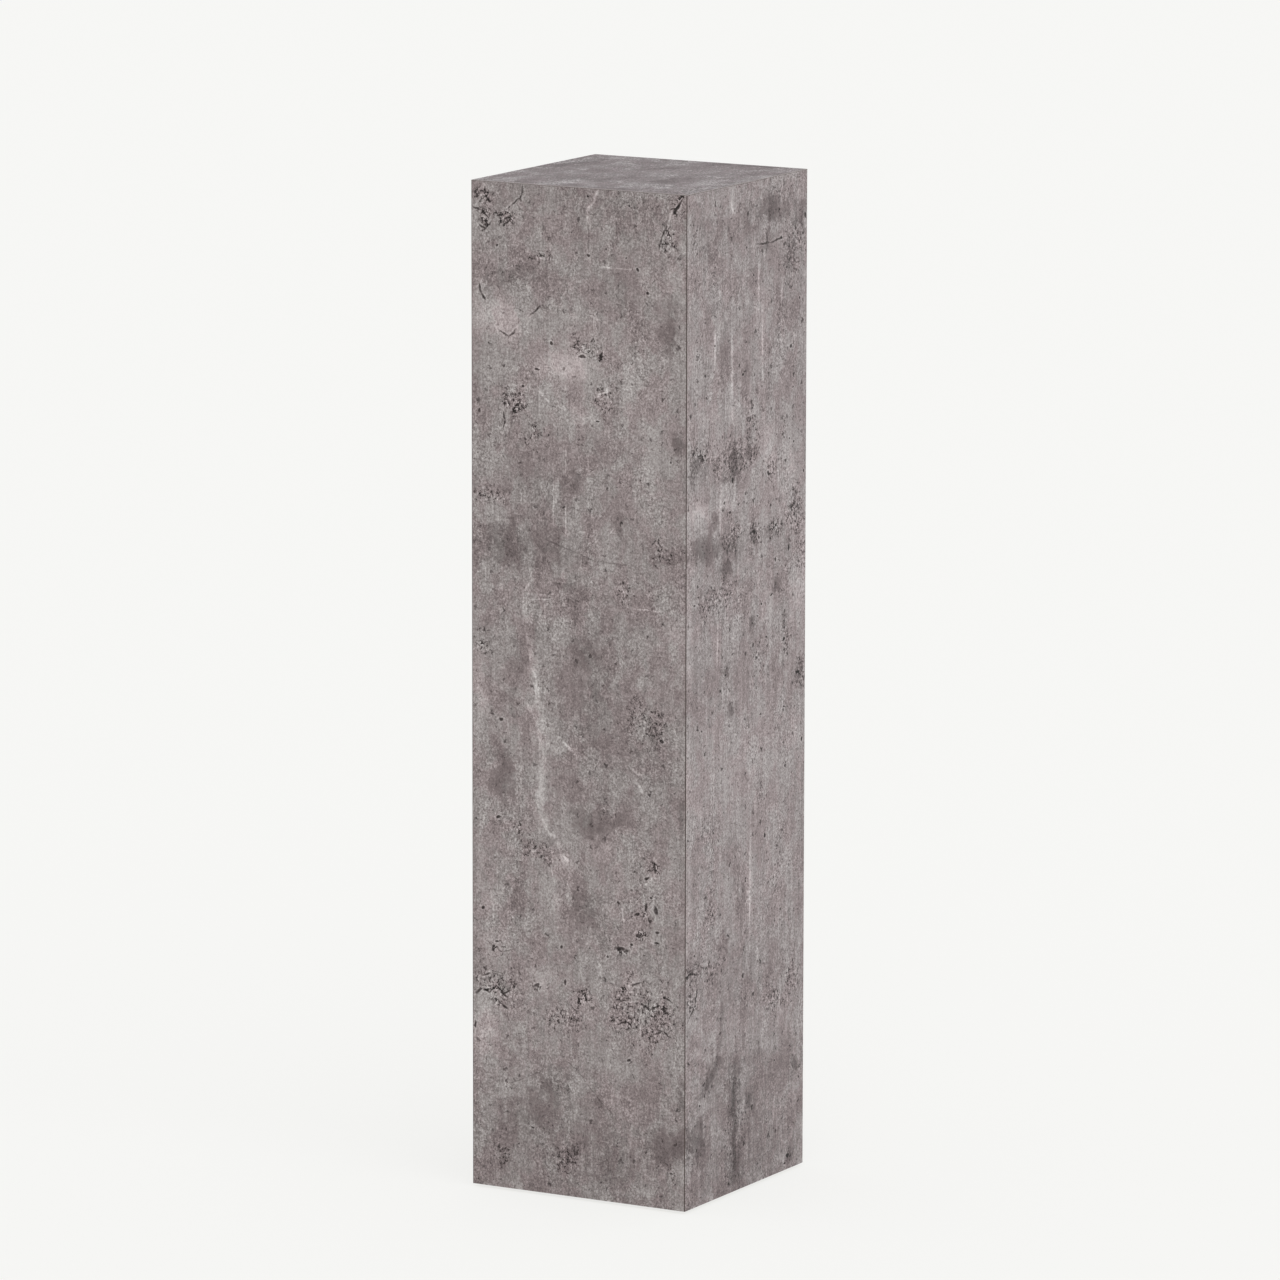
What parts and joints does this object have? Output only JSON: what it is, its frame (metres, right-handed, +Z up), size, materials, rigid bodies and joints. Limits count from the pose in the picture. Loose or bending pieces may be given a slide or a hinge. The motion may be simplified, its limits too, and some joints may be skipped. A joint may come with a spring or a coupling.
{
  "type": "pedestal column stand",
  "caption": "Tall square display column with plain flat sides and a flat top, clad in grey concrete-look laminate.",
  "frame": {"origin": "on the floor, under the middle of the column", "axes": "+Z up along the column, -Y out of the front face, +X to the right as seen from the front"},
  "size_m": [0.24, 0.24, 1],
  "materials": {
    "particle_board": "raw, sanded",
    "softwood": "raw, planed",
    "concrete_laminate": "matt, fine grained",
    "beech": "raw, compressed",
    "zinc_plated_steel": "bright zinc",
    "polyethylene": "moulded, matt"
  },
  "bodies": {
    "root": {"front_wall": "particle_board", "back_wall": "particle_board", "left_wall": "particle_board", "right_wall": "particle_board", "top_board": "particle_board", "mid_brace": "particle_board", "base_board": "particle_board", "front_batten": "softwood", "back_batten": "softwood", "left_batten": "softwood", "right_batten": "softwood", "front_laminate": "concrete_laminate", "back_laminate": "concrete_laminate", "left_laminate": "concrete_laminate", "right_laminate": "concrete_laminate", "top_laminate": "concrete_laminate", "corner_biscuits": "beech", "top_biscuits": "beech", "base_screws": "zinc_plated_steel", "glide_front_left": "polyethylene", "glide_front_right": "polyethylene", "glide_back_left": "polyethylene", "glide_back_right": "polyethylene"}
  },
  "joints": []
}
